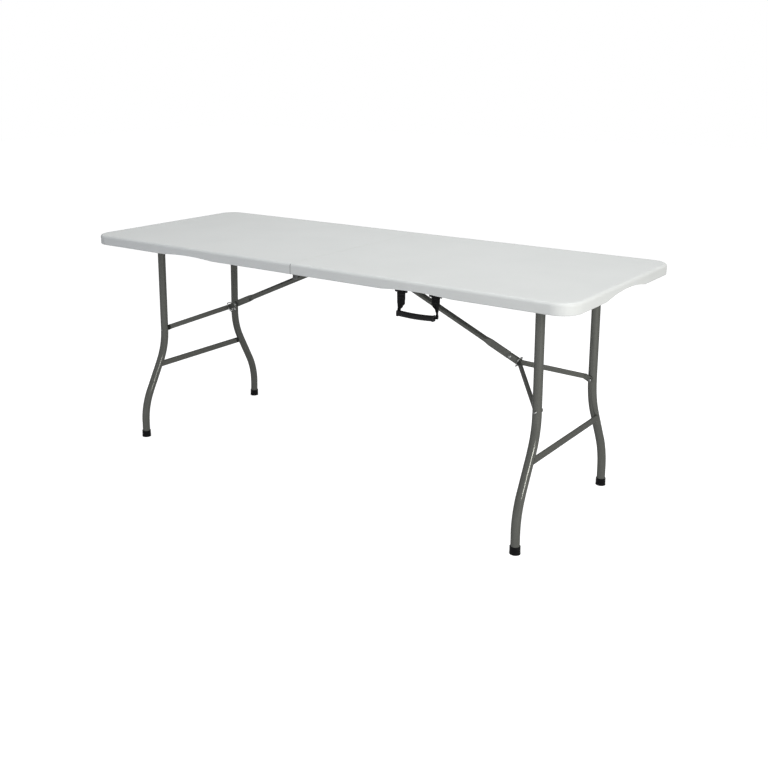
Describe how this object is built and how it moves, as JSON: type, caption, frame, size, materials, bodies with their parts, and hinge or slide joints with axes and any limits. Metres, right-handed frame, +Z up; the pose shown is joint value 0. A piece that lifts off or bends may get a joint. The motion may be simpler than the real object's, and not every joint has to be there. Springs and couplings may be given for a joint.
{
  "type": "folding table",
  "caption": "Long rectangular folding table with a blow-moulded top that folds at the middle, tubular leg frames, braces with forked arms and sliding lock rings, and a side carry handle.",
  "frame": {"origin": "on the floor under the middle of the centre seam, with the legs unfolded", "axes": "+X along the table towards the half with the carry handle, +Y away from the side with the carry handle, +Z up"},
  "size_m": [1.8, 0.7, 0.74],
  "materials": {
    "cap": "black rubber",
    "grip": "black, moulded",
    "nylon": "black nylon",
    "rail": "satin powder coat, charcoal",
    "top": "fine moulded grain, pale grey",
    "tube": "hammertone powder coat, dark grey",
    "webbing": "black webbing",
    "zinc": "zinc plated"
  },
  "bodies": {
    "left_top": {"left_top": "top", "left_rail_front": "rail", "left_rail_rear": "rail", "left_rail_screws": "zinc", "left_hinge_plate_front": "rail", "left_hinge_plate_rear": "rail", "centre_hinge_pins": "zinc", "left_pivot_bushes": "nylon", "left_brace_rod": "tube", "left_rod_collars": "nylon"},
    "right_top": {"right_top": "top", "right_rail_front": "rail", "right_rail_rear": "rail", "right_rail_screws": "zinc", "right_hinge_plate_front": "rail", "right_hinge_plate_rear": "rail", "right_pivot_bushes": "nylon", "right_brace_rod": "tube", "right_rod_collars": "nylon", "handle_anchors": "nylon", "handle_anchor_screws": "zinc", "handle_pins": "zinc"},
    "carry_handle": {"handle_strap_left": "webbing", "handle_strap_right": "webbing", "handle_grip": "grip"},
    "left_leg_frame": {"left_cross_tube": "tube", "left_leg_front": "tube", "left_leg_rear": "tube", "left_crossbar": "tube", "left_foot_cap_front": "cap", "left_foot_cap_rear": "cap", "left_leg_bolts": "zinc"},
    "left_brace": {"left_brace": "tube", "left_brace_rivet": "zinc"},
    "left_arms": {"left_arm_front": "tube", "left_arm_rear": "tube", "left_arm_nuts": "zinc"},
    "left_lock_ring": {"left_lock_ring": "zinc"},
    "right_leg_frame": {"right_cross_tube": "tube", "right_leg_front": "tube", "right_leg_rear": "tube", "right_crossbar": "tube", "right_foot_cap_front": "cap", "right_foot_cap_rear": "cap", "right_leg_bolts": "zinc"},
    "right_brace": {"right_brace": "tube", "right_brace_rivet": "zinc"},
    "right_arms": {"right_arm_front": "tube", "right_arm_rear": "tube", "right_arm_nuts": "zinc"},
    "right_lock_ring": {"right_lock_ring": "zinc"}
  },
  "joints": [
    {"name": "centre_fold", "type": "hinge", "parent": "left_top", "child": "right_top", "pos_m": [0, 0, 0.694], "axis": [0, 1, 0], "range_deg": [0, 90]},
    {"name": "right_leg_fold", "type": "hinge", "parent": "right_top", "child": "right_leg_frame", "pos_m": [0.73628, 0, 0.713], "axis": [0, 1, 0], "range_deg": [0, 91]},
    {"name": "right_brace_swing", "type": "hinge", "parent": "right_top", "child": "right_brace", "pos_m": [0.012, 0, 0.714], "axis": [0, -1, 0], "range_deg": [0, 24.84]},
    {"name": "right_arm_swing", "type": "hinge", "parent": "right_brace", "child": "right_arms", "pos_m": [0.56036, 0, 0.4695], "axis": [0, 1, 0], "range_deg": [0, 177.19]},
    {"name": "right_ring_slide", "type": "slide", "parent": "right_brace", "child": "right_lock_ring", "axis": [-0.9133, 0, 0.4072], "range_m": [0, 0.2601]},
    {"name": "left_leg_fold", "type": "hinge", "parent": "left_top", "child": "left_leg_frame", "pos_m": [-0.73628, 0, 0.713], "axis": [0, -1, 0], "range_deg": [0, 91]},
    {"name": "left_brace_swing", "type": "hinge", "parent": "left_top", "child": "left_brace", "pos_m": [-0.012, 0, 0.714], "axis": [0, 1, 0], "range_deg": [0, 24.84]},
    {"name": "left_arm_swing", "type": "hinge", "parent": "left_brace", "child": "left_arms", "pos_m": [-0.56036, 0, 0.4695], "axis": [0, -1, 0], "range_deg": [0, 177.19]},
    {"name": "left_ring_slide", "type": "slide", "parent": "left_brace", "child": "left_lock_ring", "axis": [0.9133, 0, 0.4072], "range_m": [0, 0.2601]},
    {"name": "carry_handle_swing", "type": "hinge", "parent": "right_top", "child": "carry_handle", "pos_m": [0.44, -0.329, 0.704], "axis": [-1, 0, 0], "range_deg": [-95, 95]}
  ],
  "couplings": [
    {"joint": "right_brace_swing", "follows": "right_leg_fold", "ratio": 0.27287},
    {"joint": "right_arm_swing", "follows": "right_leg_fold", "ratio": 1.947},
    {"joint": "right_ring_slide", "follows": "right_leg_fold", "m_per_rad": 0.1637},
    {"joint": "left_brace_swing", "follows": "left_leg_fold", "ratio": 0.27287},
    {"joint": "left_arm_swing", "follows": "left_leg_fold", "ratio": 1.947},
    {"joint": "left_ring_slide", "follows": "left_leg_fold", "m_per_rad": 0.1637}
  ]
}
